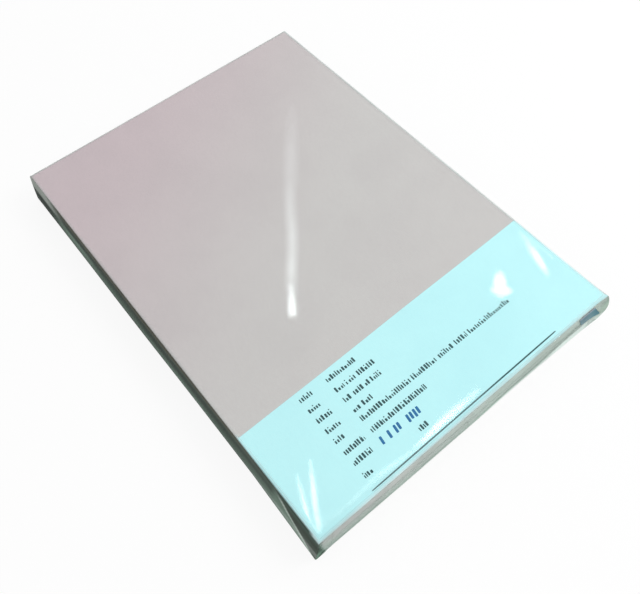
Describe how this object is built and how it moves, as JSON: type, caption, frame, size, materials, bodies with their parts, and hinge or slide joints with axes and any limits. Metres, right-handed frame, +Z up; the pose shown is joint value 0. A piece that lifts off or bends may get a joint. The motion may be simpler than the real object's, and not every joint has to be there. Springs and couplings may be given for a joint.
{
  "type": "ream of cardstock",
  "caption": "Flat stack of greyish pink A4 cardstock in clear folded film, with a pale cyan printed slip under the film at one short end.",
  "frame": {"origin": "middle of the pack's footprint, on the surface it lies on", "axes": "+Z up, X across the short side of the sheets, Y along the long side, with the label slip at the -Y end"},
  "size_m": [0.2142, 0.3, 0.0226],
  "materials": {
    "cardstock": "matte",
    "slip_paper": "matte",
    "film": "glossy",
    "tab_film": "glossy"
  },
  "bodies": {
    "root": {"sheet_stack": "cardstock", "label_slip": "slip_paper", "film_wrap": "film", "seal_tab": "tab_film"}
  },
  "joints": []
}
